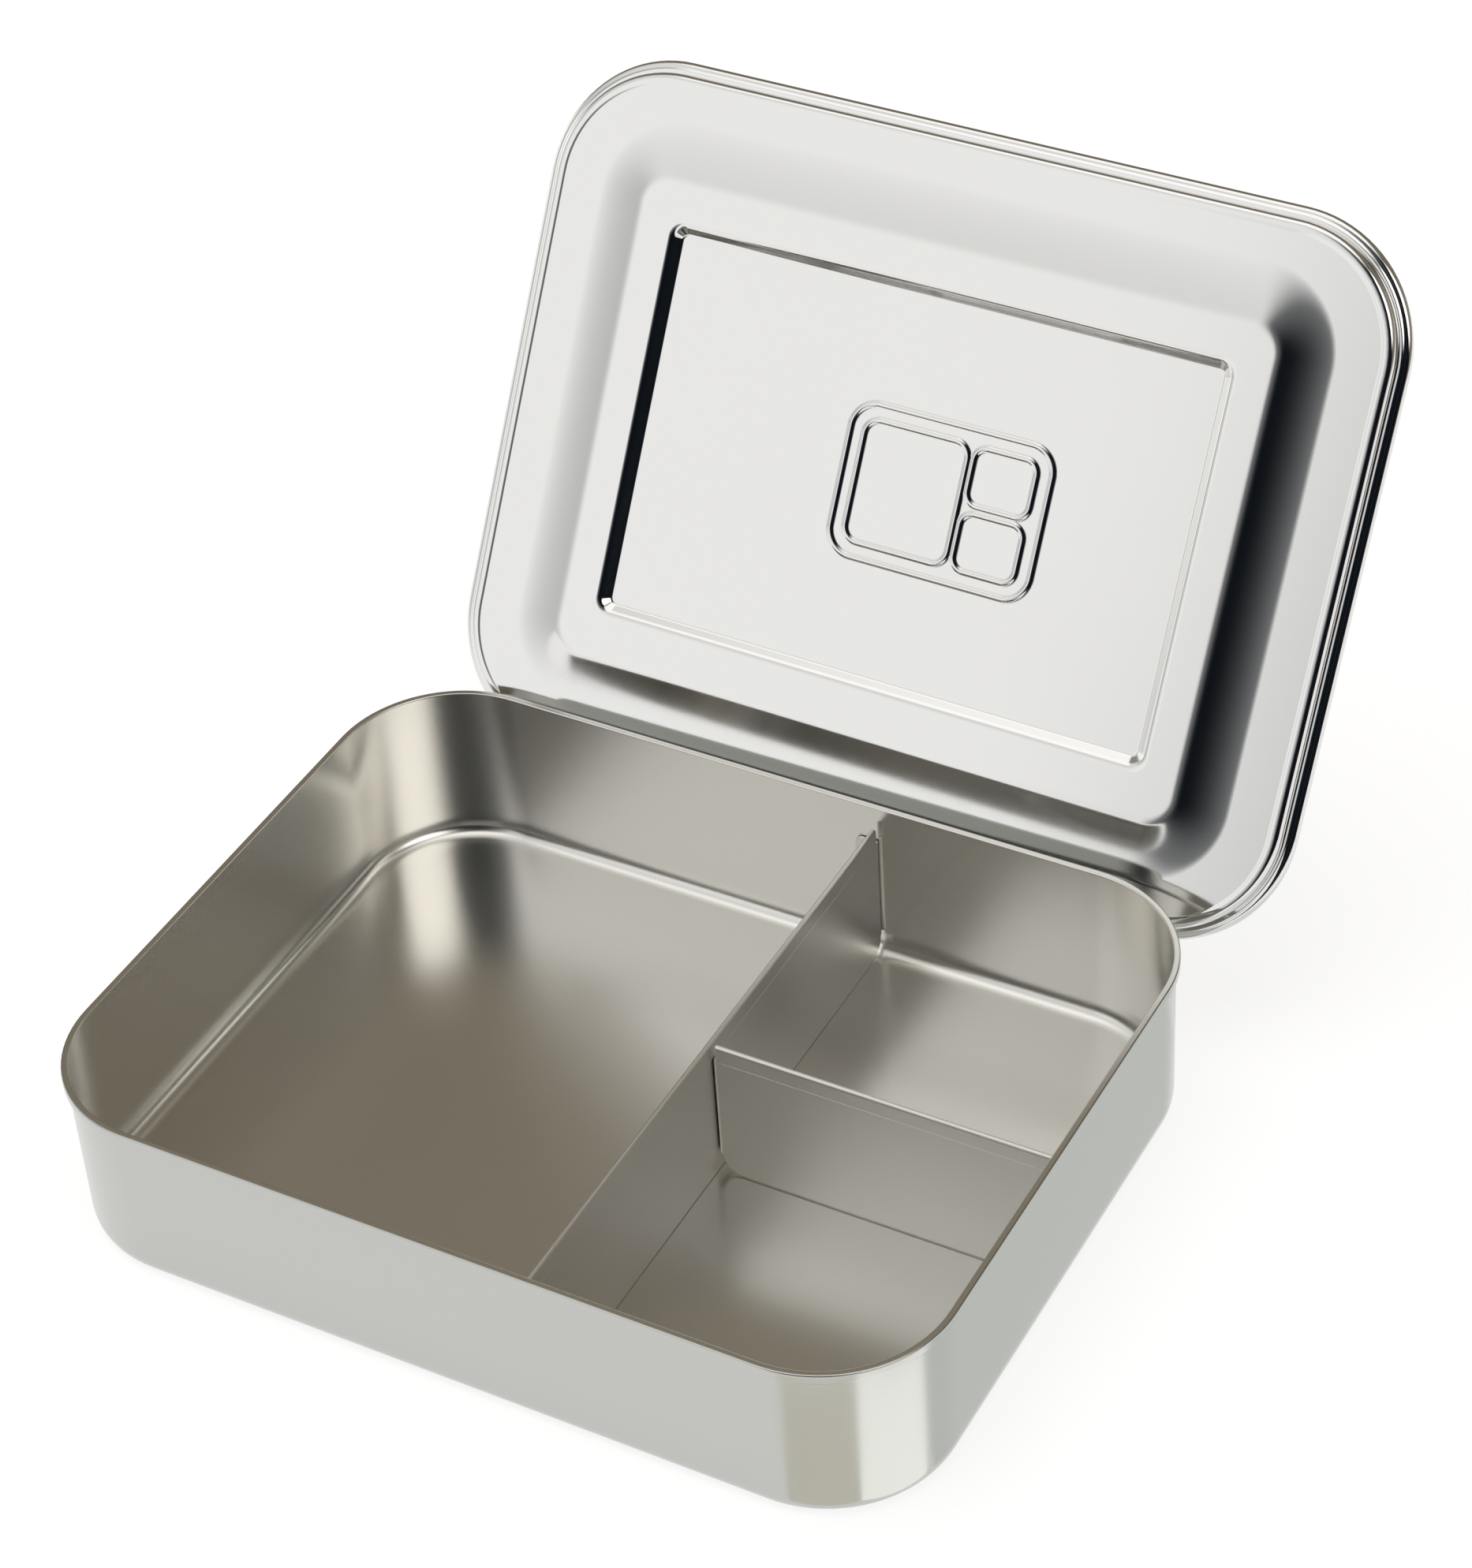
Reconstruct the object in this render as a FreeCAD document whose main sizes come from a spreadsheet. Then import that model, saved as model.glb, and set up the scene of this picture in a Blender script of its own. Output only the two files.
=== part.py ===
import FreeCAD, Part
import math
import os

import Sketcher

# Three-compartment stainless lunch box, millimetres, +Z up.
# The origin is the middle of the tray's flat base, on the surface that it stands on.
# X runs along the length, +Y points to the back, where the lid stands tipped open.
# The tray and its two dividers are welded together; the lid is a loose push fit.

SIZES = [
    ("box_length", 202.0, "tray length over the rim"),
    ("box_width", 157.0, "tray width over the rim"),
    ("box_height", 41.0, "tray height"),
    ("corner_radius", 28.6, "plan radius of the rim's outer corners"),
    ("tray_gauge", 0.6, "tray sheet thickness"),
    ("rim_reach", 0.9, "how far the folded rim stands out from the wall"),
    ("rim_drop", 2.4, "height of the folded rim"),
    ("rim_round", 0.4, "rounding of the folded rim's outer edges"),
    ("lip_round", 0.3, "rounding of the rim's inner edge"),
    ("floor_radius", 4.2, "inside radius between wall and floor"),
    ("divider_gauge", 0.6, "divider sheet thickness"),
    ("divider_drop", 4.7, "dividers' top edge below the rim"),
    ("hem_depth", 6.0, "depth of the folded-over top edge"),
    ("hem_round", 0.5, "rounding of the folded-over top edge"),
    ("flange_reach", 5.6, "run of a divider's end flange along the wall"),
    ("flange_drop", 4.1, "top of an end flange below the divider's top edge"),
    ("flange_corner", 1.6, "radius of a flange's free corners"),
    ("bend_radius", 1.0, "outside radius of a flange's bend"),
    ("foot_relief", 0.5, "a divider's lower corner radius over the tray's floor radius"),
    ("weld_gap", 0.2, "gap that the welds leave between a flange and its wall"),
    ("weld_size", 3.0, "diameter of a spot weld"),
    ("weld_margin", 3.35, "middle of an end weld from the flange's end"),
    ("long_place", 19.8, "fold line of the long divider, right of centre"),
    ("long_setback", 1.5, "long divider's folded edge stops this short of the wall"),
    ("long_clear", 0.2, "gap under the long divider"),
    ("cross_place", 0.2, "fold line of the short divider, behind centre"),
    ("cross_setback", 1.0, "short divider's folded edge stops this short of its ends"),
    ("cross_clear", 0.4, "gap under the short divider"),
    ("lid_gauge", 0.6, "lid sheet thickness"),
    ("lid_overhang", 0.8, "lid's rolled edge stands out past the tray's rim"),
    ("roll_size", 2.8, "diameter of the lid's rolled edge"),
    ("roll_lift", 0.4, "rolled edge's underside above the seat"),
    ("plug_clear", 0.45, "gap between the plug's bead and the tray wall"),
    ("bead_radius", 1.4, "radius of the plug's bead"),
    ("bead_waist", 0.55, "how far the plug's bead stands out from its groove"),
    ("ridge_flat", 0.9, "flat bottom of the ridge round the lid's border"),
    ("ridge_rise", 0.12, "height of the ridge over the border"),
    ("border_drop", 2.43, "underside of the lid's border below the rim"),
    ("border_width", 9.6, "width of the flat border at the lid's short ends"),
    ("border_side", 7.0, "width of the flat border along the lid's long sides"),
    ("slope_length", 11.6, "run of the slope at the lid's short ends"),
    ("slope_width", 13.2, "run of the slope along the lid's long sides"),
    ("slope_corner", 19.5, "plan radius of the slope's outer corners"),
    ("frame_clear", 0.2, "gap between the lid's frame and the dividers' top edges"),
    ("frame_corner", 5.5, "plan radius of the frame's corners"),
    ("centre_length", 133.2, "length of the stepped centre"),
    ("centre_width", 88.4, "width of the stepped centre"),
    ("centre_shift", 0.76, "stepped centre towards the front"),
    ("centre_corner", 3.5, "plan radius of the stepped centre's corners"),
    ("centre_rise", 1.95, "how far the centre steps up from the frame"),
    ("step_run", 2.07, "run of the step's slope"),
    ("open_angle", 120.22, "degrees that the lid is tipped open from closed"),
    ("open_turn", -1.12, "degrees that the open lid is turned about the vertical"),
    ("open_roll", 1.32, "degrees that the open lid leans to one side"),
    ("open_aside", 8.4, "open lid's lower edge right of centre"),
    ("open_behind", 1.22, "open lid's lower edge behind the wall"),
    ("open_drop", 14.77, "open lid's lower edge below the tray's rim"),
]

doc = FreeCAD.newDocument("lunch_box")
sheet = doc.addObject("Spreadsheet::Sheet", "sizes")
for row, (alias, value, meaning) in enumerate(SIZES, start=1):
    sheet.set("A%d" % row, alias)
    sheet.set("B%d" % row, str(value))
    sheet.set("C%d" % row, meaning)
    sheet.setAlias("B%d" % row, alias)
doc.recompute()
NAMES = {alias: float(sheet.get(alias)) for alias, _, _ in SIZES}


def size(expression):
    """Value of an expression in the sheet's names, for a sketch's starting shape."""
    return float(sheet.evalExpression(expression))


def total(*terms):
    """Sum of expressions, kept in brackets."""
    return "(" + " + ".join(terms) + ")"


def less(first, *others):
    """First expression less the others, kept in brackets."""
    return "(" + " - ".join((first,) + others) + ")"


# Tray, shared by everything that sits in it.
GAUGE = "sizes.tray_gauge"
RIM_X = "(sizes.box_length / 2)"
RIM_Y = "(sizes.box_width / 2)"
WALL_X = less(RIM_X, "sizes.rim_reach")
WALL_Y = less(RIM_Y, "sizes.rim_reach")
WALL_R = less("sizes.corner_radius", "sizes.rim_reach")
INNER_X = less(WALL_X, GAUGE)
INNER_Y = less(WALL_Y, GAUGE)
INNER_R = less(WALL_R, GAUGE)

# Dividers.
SHEET = "sizes.divider_gauge"
DIVIDER_TOP = less("sizes.box_height", "sizes.divider_drop")
FLANGE_TOP = less(DIVIDER_TOP, "sizes.flange_drop")
FOOT = total("sizes.floor_radius", "sizes.foot_relief")
FLANGE_FOOT = total(GAUGE, "sizes.long_clear", FOOT)
LONG_FACE = total("sizes.long_place", SHEET)
BEND_IN = less("sizes.bend_radius", SHEET)

# Lid, drawn closed: X and Y as on the tray, height 0 on top of the tray's rim.
THIN = "sizes.lid_gauge"
LID_X = total(RIM_X, "sizes.lid_overhang")
LID_Y = total(RIM_Y, "sizes.lid_overhang")
LID_R = total("sizes.corner_radius", "sizes.lid_overhang")
ROLL = "(sizes.roll_size / 2)"
ROLL_IN = less(ROLL, THIN)
ROLL_MID = total("sizes.roll_lift", ROLL)
BEAD_IN = total("sizes.lid_overhang", "sizes.rim_reach", GAUGE, "sizes.plug_clear")
WAIST_IN = total(BEAD_IN, "sizes.bead_waist")
BEAD_MID = total(BEAD_IN, "sizes.bead_radius")
RIDGE_IN = total(BEAD_MID, "sizes.ridge_flat")
RIDGE_DROP = total("sizes.border_drop", "sizes.ridge_rise")
BORDER_OUT = total(RIDGE_IN, "sizes.ridge_rise")
BORDER_IN = total(BORDER_OUT, "sizes.border_width")
BORDER_SIDE_IN = total(BORDER_OUT, "sizes.border_side")
FRAME_DROP = less("sizes.divider_drop", "sizes.frame_clear")


def origin_plane(body, role):
    """The body's own origin plane with this role."""
    return next(f for f in body.Origin.OriginFeatures if f.Role == role)


def new_body(label):
    body = doc.addObject("PartDesign::Body", label)
    body.Label = label
    return body


def new_sketch(body, name, role, height=None):
    """A sketch on one of the body's origin planes, moved along the plane's normal."""
    sketch = body.newObject("Sketcher::SketchObject", name)
    sketch.AttachmentSupport = [(origin_plane(body, role), "")]
    sketch.MapMode = "FlatFace"
    if height is not None:
        sketch.setExpression("AttachmentOffset.Base.z", height)
    return sketch


def bind(sketch, kind, elements, name, expression):
    """Add a named dimension whose value comes from the sheet."""
    value = size(expression)
    index = sketch.addConstraint(Sketcher.Constraint(kind, *elements, value))
    sketch.renameConstraint(index, name)
    sketch.setExpression("Constraints." + name, expression)


def hold_point(sketch, geometry, corner, name, place):
    """Dimension a point from the sketch's origin along both axes."""
    for kind, axis, expression in zip(("DistanceX", "DistanceY"), "xy", place):
        if abs(size(expression)) < 1e-6:
            axis_line = -2 if axis == "x" else -1
            sketch.addConstraint(
                Sketcher.Constraint("PointOnObject", geometry, corner, axis_line))
        else:
            bind(sketch, kind, (-1, 1, geometry, corner), name + axis, expression)


def outline(sketch, places, arcs=None, prefix="p"):
    """A closed outline through places, each a pair of expressions.

    arcs gives, by the number of the side's first place, the arc's middle and radius and
    +1 for an arc drawn anticlockwise or -1 for clockwise.
    """
    arcs = arcs or {}
    first = sketch.GeometryCount
    count = len(places)
    points = [FreeCAD.Vector(size(px), size(py), 0) for px, py in places]
    for index in range(count):
        start, end = points[index], points[(index + 1) % count]
        if index not in arcs:
            sketch.addGeometry(Part.LineSegment(start, end), False)
            continue
        middle_x, middle_y, radius, turn = arcs[index]
        middle = FreeCAD.Vector(size(middle_x), size(middle_y), 0)
        if turn < 0:
            start, end = end, start
        low = math.atan2(start.y - middle.y, start.x - middle.x)
        high = math.atan2(end.y - middle.y, end.x - middle.x)
        if high <= low:
            high += 2 * math.pi
        circle = Part.Circle(middle, FreeCAD.Vector(0, 0, 1), size(radius))
        sketch.addGeometry(Part.ArcOfCircle(circle, low, high), False)
    for index in range(count):
        before = (index - 1) % count
        here, there = first + index, first + before
        start_end = 2 if index in arcs and arcs[index][3] < 0 else 1
        last_end = 1 if before in arcs and arcs[before][3] < 0 else 2
        sketch.addConstraint(
            Sketcher.Constraint("Coincident", there, last_end, here, start_end))
        hold_point(sketch, here, start_end, "%s%d" % (prefix, index), places[index])
        if index in arcs:
            bind(sketch, "Radius", (here,), "%sr%d" % (prefix, index), arcs[index][2])


def rounded_rectangle(sketch, half_x, half_y, radius, shift="0", split=False):
    """A rectangle with round corners, shift back along Y; split cuts its right side at 0."""
    inner_x, inner_y = less(half_x, radius), less(half_y, radius)
    back, front = total(shift, half_y), less(shift, half_y)
    high, low = total(shift, inner_y), less(shift, inner_y)
    left, near_left = "(0 - %s)" % half_x, "(0 - %s)" % inner_x
    places = [
        (half_x, low), (half_x, high), (inner_x, back), (near_left, back),
        (left, high), (left, low), (near_left, front), (inner_x, front)]
    arcs = {
        1: (inner_x, high, radius, 1), 3: (near_left, high, radius, 1),
        5: (near_left, low, radius, 1), 7: (inner_x, low, radius, 1)}
    if split:
        places = [(half_x, "0")] + places[1:] + [places[0]]
    outline(sketch, places, arcs)


def pad(body, name, sketch, length, reverse=False):
    feature = body.newObject("PartDesign::Pad", name)
    feature.Profile = sketch
    feature.Reversed = reverse
    feature.setExpression("Length", length)
    sketch.Visibility = False
    return feature


def pocket(body, name, sketch, length, reverse=False):
    """Cut, and check that it took something away."""
    doc.recompute()
    before = body.Shape.Volume
    feature = body.newObject("PartDesign::Pocket", name)
    feature.Profile = sketch
    feature.Reversed = reverse
    feature.setExpression("Length", length)
    doc.recompute()
    if not body.Shape.Volume < before - 1.0:
        raise RuntimeError("%s cut nothing" % name)
    return feature


def loft(body, kind, name, lower, upper):
    """Straight loft between two sketches."""
    feature = body.newObject("PartDesign::" + kind, name)
    feature.Profile = lower
    feature.Sections = [upper]
    feature.Ruled = True
    return feature


def round_edges(body, name, radius, wanted):
    """Fillet the tip's edges that wanted(edge) picks."""
    doc.recompute()
    tip = body.Tip
    edges = ["Edge%d" % (n + 1) for n, edge in enumerate(tip.Shape.Edges) if wanted(edge)]
    if not edges:
        raise RuntimeError("%s found no edge" % name)
    feature = body.newObject("PartDesign::Fillet", name)
    feature.Base = (tip, edges)
    feature.setExpression("Radius", radius)
    doc.recompute()
    return feature


def level(edge, height):
    """Whether the whole edge lies at this height."""
    box = edge.BoundBox
    return abs(box.ZMin - height) < 1e-4 and abs(box.ZMax - height) < 1e-4


# ---- tray: a drawn sheet pan with its rim folded outwards ----------------------------
tray = new_body("tray_shell")
outside = new_sketch(tray, "tray_outside", "XY_Plane")
rounded_rectangle(outside, WALL_X, WALL_Y, WALL_R)
pad(tray, "tray_block", outside, "sizes.box_height")
rim = new_sketch(tray, "tray_rim", "XY_Plane", less("sizes.box_height", "sizes.rim_drop"))
rounded_rectangle(rim, RIM_X, RIM_Y, "sizes.corner_radius")
pad(tray, "tray_fold", rim, "sizes.rim_drop")
inside = new_sketch(tray, "tray_inside", "XY_Plane", "sizes.box_height")
rounded_rectangle(inside, INNER_X, INNER_Y, INNER_R)
pocket(tray, "tray_hollow", inside, less("sizes.box_height", GAUGE))
round_edges(tray, "base_bend", total("sizes.floor_radius", GAUGE),
            lambda edge: level(edge, 0.0))
round_edges(tray, "floor_bend", "sizes.floor_radius",
            lambda edge: level(edge, size(GAUGE)))
rim_out = size(RIM_X) - 1e-3
rim_back = size(RIM_Y) - 1e-3
rim_top = size("sizes.box_height")
rim_foot = size(less("sizes.box_height", "sizes.rim_drop"))
mean_radius = size("sizes.corner_radius")


def on_rim_outside(edge):
    """Whether the edge lies on the outer face of the folded rim, at its top or foot."""
    if not (level(edge, rim_top) or level(edge, rim_foot)):
        return False
    middle = edge.valueAt((edge.FirstParameter + edge.LastParameter) / 2)
    dx, dy = abs(middle.x), abs(middle.y)
    corner_x = size(RIM_X) - mean_radius
    corner_y = size(RIM_Y) - mean_radius
    if dx > corner_x and dy > corner_y:
        return math.hypot(dx - corner_x, dy - corner_y) > mean_radius - 1e-3
    return dx > rim_out or dy > rim_back


round_edges(tray, "fold_round", "sizes.rim_round", on_rim_outside)
lip_x = size(INNER_X) + 1e-3
lip_y = size(INNER_Y) + 1e-3
round_edges(
    tray, "lip_round", "sizes.lip_round",
    lambda edge: level(edge, rim_top) and edge.BoundBox.XMax < lip_x
    and edge.BoundBox.XMin > -lip_x and edge.BoundBox.YMax < lip_y
    and edge.BoundBox.YMin > -lip_y)


# ---- dividers: sheet webs with a folded top edge and a bent flange at each end ----------
def web_outline(sketch, low_end, high_end, low_hem, high_hem, foot, top, step):
    """A web's face: flat foot with round corners, ends up to the step, then the fold."""
    low_in, high_in = total(low_end, FOOT), less(high_end, FOOT)
    corner = total(foot, FOOT)
    places = [
        (low_in, foot), (high_in, foot), (high_end, corner), (high_end, step),
        (high_hem, step), (high_hem, top), (low_hem, top), (low_hem, step),
        (low_end, step), (low_end, corner)]
    arcs = {1: (high_in, corner, FOOT, 1), 9: (low_in, corner, FOOT, 1)}
    outline(sketch, places, arcs)


def rectangle(sketch, low_x, high_x, low_y, high_y):
    outline(sketch, [(low_x, low_y), (high_x, low_y), (high_x, high_y), (low_x, high_y)])


def round_flange(body, name, corner_x, corner_y):
    """Round a flange's two free corners: short edges at the given plan place."""
    def wanted(edge):
        middle = edge.valueAt((edge.FirstParameter + edge.LastParameter) / 2)
        near_x = corner_x is None or abs(middle.x - corner_x) < 1e-3
        near_y = corner_y is None or abs(middle.y - corner_y) < 1e-3
        box = edge.BoundBox
        flat = box.ZMax - box.ZMin < 1e-6
        short = abs(edge.Length - size(SHEET)) < 1e-4
        return near_x and near_y and flat and short
    return round_edges(body, name, "sizes.flange_corner", wanted)


# Long divider, front to back; its fold and flanges turn to the left.
LONG_END = less(INNER_Y, "sizes.weld_gap")
LONG_WEB = less(LONG_END, "sizes.bend_radius")
LONG_HEM = less(INNER_Y, "sizes.long_setback")
LONG_FOOT = total(GAUGE, "sizes.long_clear")
LONG_TIP = less(LONG_FACE, "sizes.flange_reach")
long_divider = new_body("long_divider")
web = new_sketch(long_divider, "long_face", "YZ_Plane", "sizes.long_place")
web_outline(web, "(0 - %s)" % LONG_WEB, LONG_WEB, "(0 - %s)" % LONG_HEM, LONG_HEM,
            LONG_FOOT, DIVIDER_TOP, FLANGE_TOP)
pad(long_divider, "long_web", web, SHEET)
fold = new_sketch(long_divider, "long_fold_face", "YZ_Plane", "sizes.long_place")
rectangle(fold, "(0 - %s)" % LONG_HEM, LONG_HEM, less(DIVIDER_TOP, "sizes.hem_depth"),
          DIVIDER_TOP)
pad(long_divider, "long_fold", fold, SHEET, reverse=True)
for side, sign in (("back", "1"), ("front", "-1")):
    bent = new_sketch(long_divider, "long_bend_" + side, "XY_Plane", FLANGE_FOOT)
    turned = less(LONG_FACE, "sizes.bend_radius")
    stop, inner = less(LONG_END, SHEET), LONG_WEB
    way = "(%s * " % sign
    places = [
        (LONG_FACE, way + inner + ")"), (turned, way + LONG_END + ")"),
        (LONG_TIP, way + LONG_END + ")"), (LONG_TIP, way + stop + ")"),
        (turned, way + stop + ")"), ("sizes.long_place", way + inner + ")")]
    spin = int(sign)
    arcs = {0: (turned, way + inner + ")", "sizes.bend_radius", spin),
            4: (turned, way + inner + ")", BEND_IN, -spin)}
    outline(bent, places, arcs)
    pad(long_divider, "long_flange_" + side, bent, less(FLANGE_TOP, FLANGE_FOOT))
round_edges(
    long_divider, "long_fold_round", "sizes.hem_round",
    lambda edge: level(edge, size(DIVIDER_TOP))
    and edge.BoundBox.YLength > size("sizes.box_width") / 2)
round_flange(long_divider, "long_flange_corners", size(LONG_TIP), None)

# Short divider, from the long one to the right wall; its fold and flanges turn back.
CROSS_FROM = total(LONG_FACE, "sizes.weld_gap")
CROSS_TO = less(INNER_X, "sizes.weld_gap")
CROSS_FRONT = less("sizes.cross_place", SHEET)
CROSS_WEB_FROM = total(CROSS_FROM, "sizes.bend_radius")
CROSS_WEB_TO = less(CROSS_TO, "sizes.bend_radius")
CROSS_HEM_FROM = total(LONG_FACE, "sizes.cross_setback")
CROSS_HEM_TO = less(INNER_X, "sizes.cross_setback")
CROSS_FOOT = total(GAUGE, "sizes.cross_clear")
CROSS_FLANGE_FOOT = total(CROSS_FOOT, FOOT)
CROSS_TIP = total(CROSS_FRONT, "sizes.flange_reach")
short_divider = new_body("short_divider")
web = new_sketch(short_divider, "short_face", "XZ_Plane", "(0 - %s)" % CROSS_FRONT)
web_outline(web, CROSS_WEB_FROM, CROSS_WEB_TO, CROSS_HEM_FROM, CROSS_HEM_TO,
            CROSS_FOOT, DIVIDER_TOP, FLANGE_TOP)
pad(short_divider, "short_web", web, SHEET, reverse=True)
fold = new_sketch(short_divider, "short_fold_face", "XZ_Plane", "(0 - sizes.cross_place)")
rectangle(fold, CROSS_HEM_FROM, CROSS_HEM_TO, less(DIVIDER_TOP, "sizes.hem_depth"),
          DIVIDER_TOP)
pad(short_divider, "short_fold", fold, SHEET, reverse=True)
turned = total(CROSS_FRONT, "sizes.bend_radius")
ends = (
    ("left", CROSS_FROM, total(CROSS_FROM, SHEET), CROSS_WEB_FROM, -1),
    ("right", CROSS_TO, less(CROSS_TO, SHEET), CROSS_WEB_TO, 1))
for side, outer, inner, centre, spin in ends:
    bent = new_sketch(short_divider, "short_bend_" + side, "XY_Plane", CROSS_FLANGE_FOOT)
    places = [
        (centre, CROSS_FRONT), (outer, turned), (outer, CROSS_TIP), (inner, CROSS_TIP),
        (inner, turned), (centre, "sizes.cross_place")]
    arcs = {0: (centre, turned, "sizes.bend_radius", spin),
            4: (centre, turned, BEND_IN, -spin)}
    outline(bent, places, arcs)
    pad(short_divider, "short_flange_" + side, bent, less(FLANGE_TOP, CROSS_FLANGE_FOOT))
round_edges(
    short_divider, "short_fold_round", "sizes.hem_round",
    lambda edge: level(edge, size(DIVIDER_TOP))
    and edge.BoundBox.XLength > size("sizes.flange_reach"))
round_flange(short_divider, "short_flange_corners", None, size(CROSS_TIP))

# ---- spot welds: three nuggets in the gap behind each flange ---------------------------
WELD_MID = "(%s / 2)" % total(FLANGE_TOP, FLANGE_FOOT)
WELD_PITCH = less("(%s / 2)" % less(FLANGE_TOP, FLANGE_FOOT), "sizes.weld_margin")
LONG_WELD_X = "(%s / 2)" % total(LONG_TIP, less(LONG_FACE, "sizes.bend_radius"))
CROSS_WELD_Y = "(%s / 2)" % total(CROSS_TIP, total(CROSS_FRONT, "sizes.bend_radius"))


def weld_row(label, number, axis, angle, place_x, place_y):
    """Three discs one above the other, standing on a wall or a face."""
    discs = []
    for step in (-1, 0, 1):
        disc = doc.addObject("Part::Cylinder", "%s_%d_%d" % (label, number, step + 1))
        disc.setExpression("Radius", "sizes.weld_size / 2")
        disc.setExpression("Height", "sizes.weld_gap")
        disc.Placement = FreeCAD.Placement(
            FreeCAD.Vector(0, 0, 0), FreeCAD.Rotation(FreeCAD.Vector(*axis), angle))
        disc.setExpression("Placement.Base.x", place_x)
        disc.setExpression("Placement.Base.y", place_y)
        disc.setExpression("Placement.Base.z",
                           total(WELD_MID, "%s * (%d)" % (WELD_PITCH, step)))
        discs.append(disc)
    return discs


def weld_set(label, discs):
    group = doc.addObject("Part::Compound", label)
    group.Label = label
    group.Links = discs
    return group


long_welds = weld_set(
    "long_divider_spot_welds",
    weld_row("long_weld", 1, (1, 0, 0), -90, LONG_WELD_X, LONG_END)
    + weld_row("long_weld", 2, (1, 0, 0), 90, LONG_WELD_X, "(0 - %s)" % LONG_END))
short_welds = weld_set(
    "short_divider_spot_welds",
    weld_row("short_weld", 1, (0, 1, 0), 90, LONG_FACE, CROSS_WELD_Y)
    + weld_row("short_weld", 2, (0, 1, 0), 90, CROSS_TO, CROSS_WELD_Y))

# ---- lid: one pressed sheet with a rolled edge, a plug bead and a stepped centre --------
lid = new_body("lid")
path = new_sketch(lid, "lid_path", "XY_Plane")
rounded_rectangle(path, LID_X, LID_Y, LID_R, split=True)
edge_face = new_sketch(lid, "lid_edge_face", "XZ_Plane")
bead_z = less("sizes.bead_radius", RIDGE_DROP)
arm = less("sizes.bead_radius", "sizes.bead_waist")
rise = "sqrt(sizes.bead_radius * sizes.bead_radius - %s * %s)" % (arm, arm)
share = "(%s / sizes.bead_radius)" % less("sizes.bead_radius", THIN)
waist_z = total(bead_z, rise)
inner_waist_in = less(BEAD_MID, "%s * %s" % (arm, share))
inner_waist_z = total(bead_z, "%s * %s" % (rise, share))
mitre = "(%s * 0.41421356)" % THIN
lip = total(WAIST_IN, THIN)
overlap = total(BORDER_OUT, THIN)


def across(inset):
    """Place in X of something this far in from the lid's outer edge."""
    return less(LID_X, inset)


places = [
    (across(ROLL), "sizes.roll_lift"),
    (across(total(ROLL, "sizes.roll_lift")), "0"),
    (across(WAIST_IN), "0"),
    (across(WAIST_IN), waist_z),
    (across(BEAD_MID), "(0 - %s)" % RIDGE_DROP),
    (across(RIDGE_IN), "(0 - %s)" % RIDGE_DROP),
    (across(BORDER_OUT), "(0 - sizes.border_drop)"),
    (across(overlap), "(0 - sizes.border_drop)"),
    (across(overlap), less(THIN, "sizes.border_drop")),
    (across(less(BORDER_OUT, mitre)), less(THIN, "sizes.border_drop")),
    (across(less(RIDGE_IN, mitre)), less(THIN, RIDGE_DROP)),
    (across(BEAD_MID), less(THIN, RIDGE_DROP)),
    (across(inner_waist_in), inner_waist_z),
    (across(lip), "0"),
    (across(lip), THIN),
    (across(total(ROLL, "sizes.roll_lift", mitre)), THIN),
    (across(total(ROLL, mitre)), total("sizes.roll_lift", THIN)),
    (across(ROLL), total("sizes.roll_lift", THIN)),
    (across(less("sizes.roll_size", THIN)), ROLL_MID),
    (across("sizes.roll_size"), ROLL_MID),
]
arcs = {
    3: (across(BEAD_MID), bead_z, "sizes.bead_radius", -1),
    11: (across(BEAD_MID), bead_z, less("sizes.bead_radius", THIN), 1),
    17: (across(ROLL), ROLL_MID, ROLL_IN, 1),
    19: (across(ROLL), ROLL_MID, ROLL, -1),
}
outline(edge_face, places, arcs)
edge = lid.newObject("PartDesign::AdditivePipe", "lid_edge")
edge.Profile = edge_face
edge.Spine = (path, [])

# Flat border, inside the swept edge.
border_cut = total(BORDER_OUT, "(%s / 2)" % THIN)
border = new_sketch(lid, "lid_border_face", "XY_Plane", "(0 - sizes.border_drop)")
rounded_rectangle(border, less(LID_X, border_cut), less(LID_Y, border_cut),
                  less(LID_R, border_cut))
pad(lid, "lid_border", border, THIN)

# The frame: a shallow dish under the border, hollowed by the sheet's thickness.
SLOPE_X = less(LID_X, BORDER_IN)
SLOPE_Y = less(LID_Y, BORDER_SIDE_IN)
FRAME_X = less(SLOPE_X, "sizes.slope_length")
FRAME_Y = less(SLOPE_Y, "sizes.slope_width")
FRAME_IN_R = less("sizes.frame_corner", "(%s / 2)" % THIN)


def rectangle_at(name, height, half_x, half_y, radius, shift="0"):
    face = new_sketch(lid, name, "XY_Plane", height)
    rounded_rectangle(face, half_x, half_y, radius, shift)
    face.Visibility = False
    return face


half_thin = "(%s / 2)" % THIN
below = "(0 - sizes.border_drop)"
frame_z = "(0 - %s)" % FRAME_DROP
dish_low = rectangle_at("dish_top", below, SLOPE_X, SLOPE_Y, "sizes.slope_corner")
dish_high = rectangle_at("dish_foot", frame_z, FRAME_X, FRAME_Y, "sizes.frame_corner")
loft(lid, "AdditiveLoft", "lid_dish", dish_low, dish_high)
hollow_top = rectangle_at(
    "hollow_top", total(below, THIN), less(SLOPE_X, half_thin),
    less(SLOPE_Y, half_thin), less("sizes.slope_corner", half_thin))
hollow_foot = rectangle_at(
    "hollow_foot", total(frame_z, THIN), less(FRAME_X, half_thin),
    less(FRAME_Y, half_thin), FRAME_IN_R)
doc.recompute()
full = lid.Shape.Volume
loft(lid, "SubtractiveLoft", "lid_hollow", hollow_top, hollow_foot)
doc.recompute()
if not lid.Shape.Volume < full - 1.0:
    raise RuntimeError("lid_hollow cut nothing")

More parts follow.
